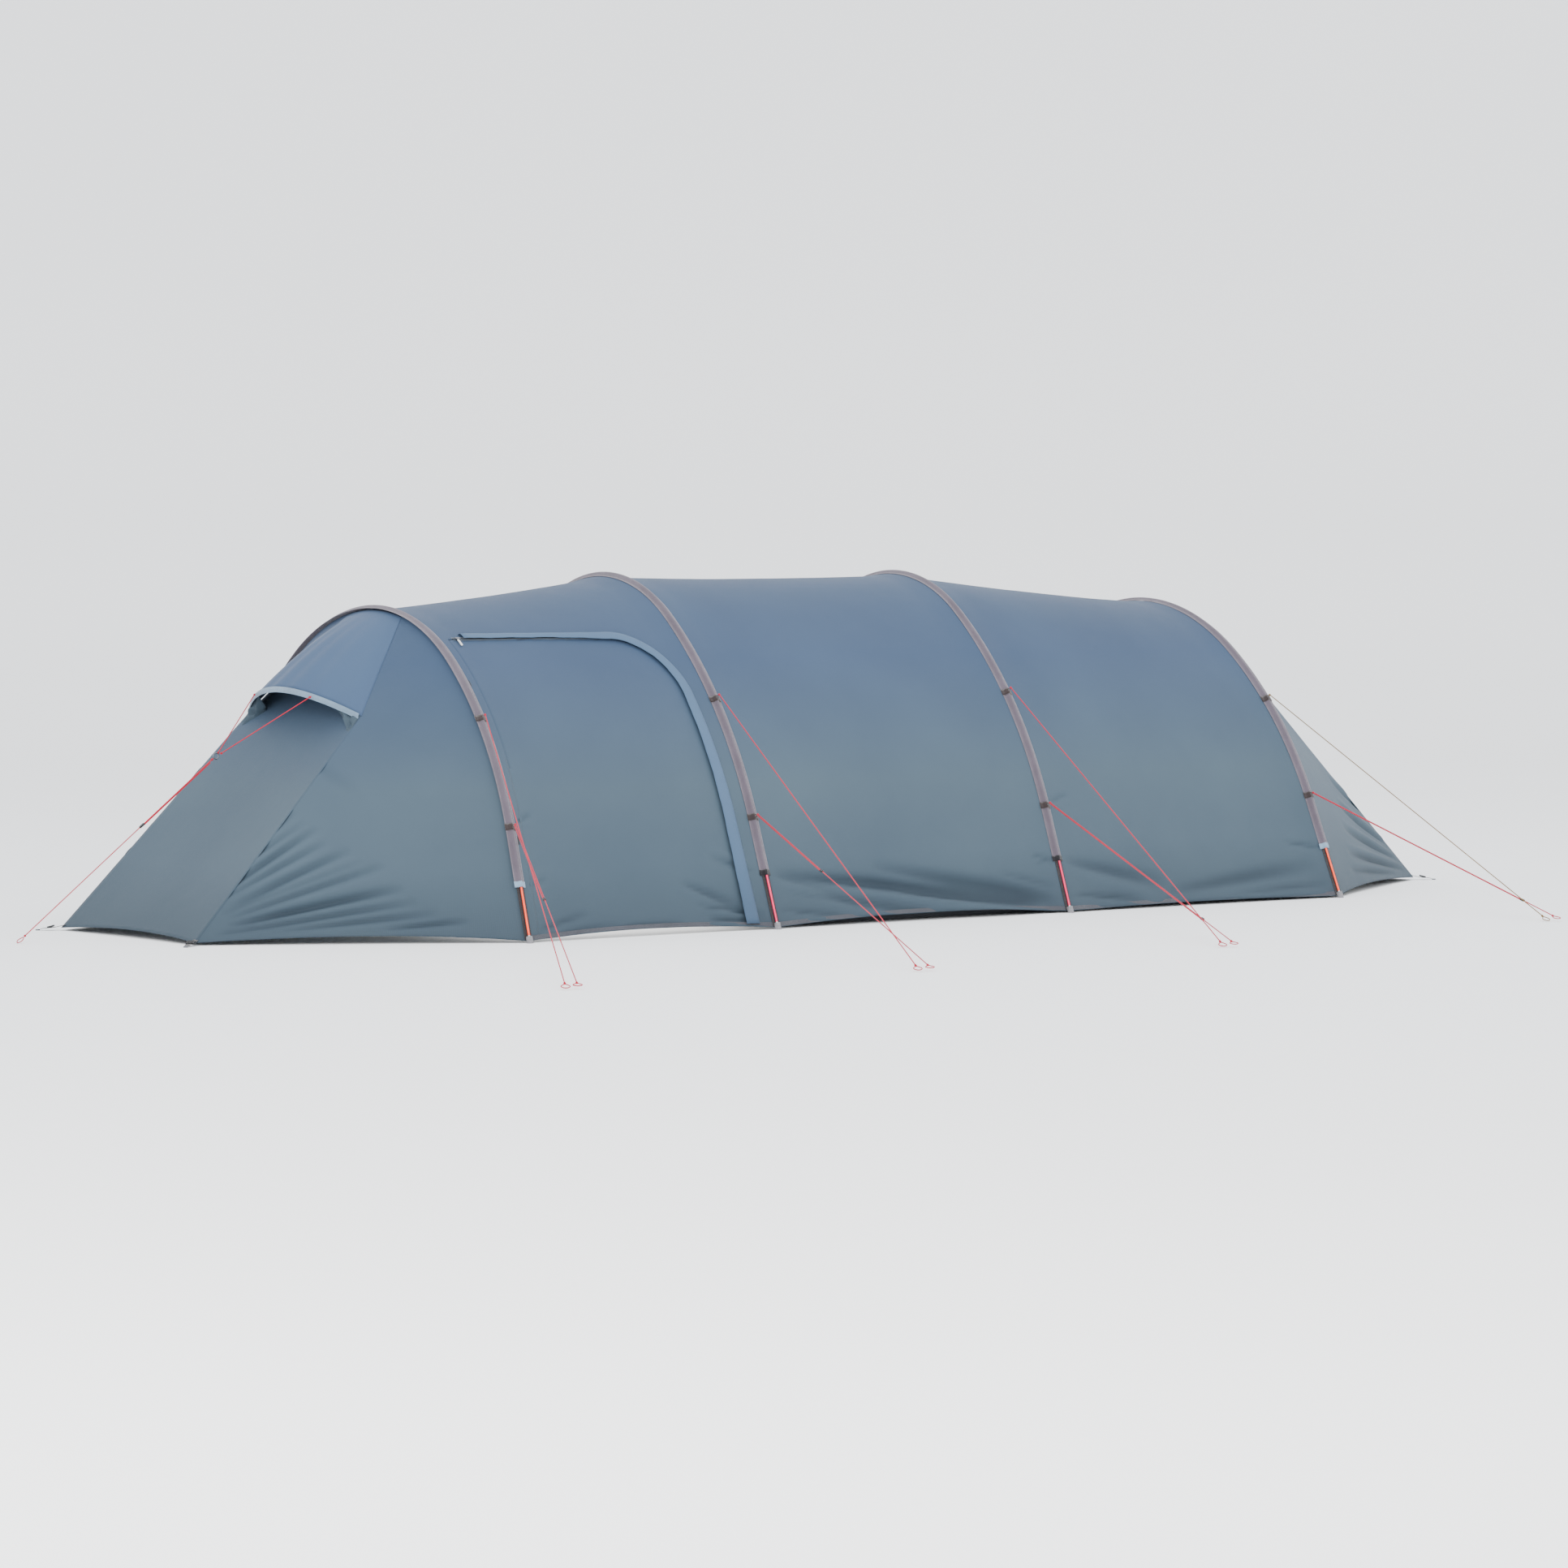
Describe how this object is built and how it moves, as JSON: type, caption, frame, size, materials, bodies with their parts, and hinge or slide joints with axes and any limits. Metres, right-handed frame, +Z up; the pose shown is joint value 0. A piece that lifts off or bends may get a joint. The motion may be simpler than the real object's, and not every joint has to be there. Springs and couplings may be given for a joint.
{
  "type": "tent on poles",
  "caption": "Pitched tunnel tent: arched poles in outer sleeves, vented nose, zipped side door, hung inner tent and taut guy lines with tensioners.",
  "frame": {"origin": "on the ground, midway between the feet of the first and last arch, on the tunnel's middle line", "axes": "+X along the tunnel from the vented nose to the tail, +Z up, the door on the side at -Y"},
  "size_m": [7.7215, 4.8195, 1.5592],
  "materials": {
    "pole_orange": "satin anodised",
    "pole_red": "satin anodised",
    "bare_aluminium": "satin",
    "shock_cord": "matt",
    "black_plastic": "moulded",
    "zip_metal": "satin",
    "sleeve_cloth": "woven",
    "webbing": "woven webbing",
    "pale_trim": "coated cloth",
    "zip_tape": "coil zip",
    "white_pull": "webbing",
    "mesh": "open mesh",
    "guy_cord": "braided cord",
    "groundsheet": "coated",
    "elastic": "elastic cord",
    "inner_cloth": "light breathable cloth",
    "fly_cloth": "ripstop, coated"
  },
  "bodies": {
    "tent": {"pole_front": "pole_orange", "pole_second": "pole_red", "pole_third": "pole_red", "pole_rear": "pole_orange", "pole_sleeves": "sleeve_cloth", "pole_ferrules": "bare_aluminium", "pole_shock_cords": "shock_cord", "pole_tips": "black_plastic", "pole_cups": "black_plastic", "sleeve_cuffs": "webbing", "guy_bands": "webbing", "foot_straps": "webbing", "fly_front_bay": "fly_cloth", "fly_middle_bay": "fly_cloth", "fly_rear_bay": "fly_cloth", "door_toggles": "black_plastic", "nose_side_near": "fly_cloth", "nose_side_far": "fly_cloth", "nose_front_panel": "fly_cloth", "vent_hood": "fly_cloth", "vent_hood_rod": "pale_trim", "vent_mesh": "mesh", "tail_side_near": "fly_cloth", "tail_side_far": "fly_cloth", "tail_panel": "fly_cloth", "corner_straps": "webbing", "corner_buckles": "black_plastic", "corner_grommets": "bare_aluminium", "guy_line_front_upper": "guy_cord", "guy_line_front_lower": "guy_cord", "guy_line_second_upper": "guy_cord", "guy_line_second_lower": "guy_cord", "guy_line_third_upper": "guy_cord", "guy_line_third_lower": "guy_cord", "guy_line_rear_upper": "guy_cord", "guy_line_rear_lower": "guy_cord", "guy_line_nose": "guy_cord", "guy_bridle_near": "guy_cord", "guy_bridle_far": "guy_cord", "guy_knots": "guy_cord", "peg_loops": "guy_cord", "bridle_ring": "bare_aluminium", "inner_shell": "inner_cloth", "inner_groundsheet": "groundsheet", "inner_front_wall": "inner_cloth", "inner_rear_wall": "inner_cloth", "inner_hangers": "elastic"},
    "door": {"door_panel": "fly_cloth", "door_zip": "zip_tape", "door_storm_flap": "pale_trim"},
    "zip_slider": {"door_zip_slider": "zip_metal"},
    "zip_pull": {"door_zip_pull": "white_pull"},
    "inner_door_flap": {"inner_door": "inner_cloth"},
    "tensioner_front_lower": {"guy_slider_front_lower": "black_plastic"},
    "tensioner_second_lower": {"guy_slider_second_lower": "black_plastic"},
    "tensioner_third_lower": {"guy_slider_third_lower": "black_plastic"},
    "tensioner_rear_lower": {"guy_slider_rear_lower": "black_plastic"},
    "tensioner_nose": {"guy_slider_nose": "black_plastic"}
  },
  "joints": [
    {"name": "door_swing", "type": "hinge", "parent": "tent", "child": "door", "pos_m": [-2.30605, -1.39502, 0.1021], "axis": [-0.0471, -0.5374, -0.842], "range_deg": [0, 14]},
    {"name": "zip_slide", "type": "slide", "parent": "door", "child": "zip_slider", "axis": [0.9932, -0.1167, 0], "range_m": [0, 0.28]},
    {"name": "zip_pull_swing", "type": "hinge", "parent": "zip_slider", "child": "zip_pull", "pos_m": [-2.16413, -0.50155, 1.26798], "axis": [-0.0618, -0.5262, 0.8481], "range_deg": [-60, 60]},
    {"name": "inner_door_swing", "type": "hinge", "parent": "tent", "child": "inner_door_flap", "pos_m": [-0.9685, -0.426, 0.6], "axis": [0, 0, 1], "range_deg": [0, 85]},
    {"name": "tension_front_lower", "type": "slide", "parent": "tent", "child": "tensioner_front_lower", "axis": [-0.4807, -0.8563, -0.189], "range_m": [-0.12, 0.08]},
    {"name": "tension_second_lower", "type": "slide", "parent": "tent", "child": "tensioner_second_lower", "axis": [-0.3581, -0.9144, -0.1886], "range_m": [-0.12, 0.08]},
    {"name": "tension_third_lower", "type": "slide", "parent": "tent", "child": "tensioner_third_lower", "axis": [-0.3418, -0.9168, -0.2066], "range_m": [-0.12, 0.08]},
    {"name": "tension_rear_lower", "type": "slide", "parent": "tent", "child": "tensioner_rear_lower", "axis": [-0.1378, -0.9598, -0.2445], "range_m": [-0.12, 0.08]},
    {"name": "tension_nose", "type": "slide", "parent": "tent", "child": "tensioner_nose", "axis": [-0.7895, 0, -0.6138], "range_m": [-0.12, 0.08]}
  ]
}
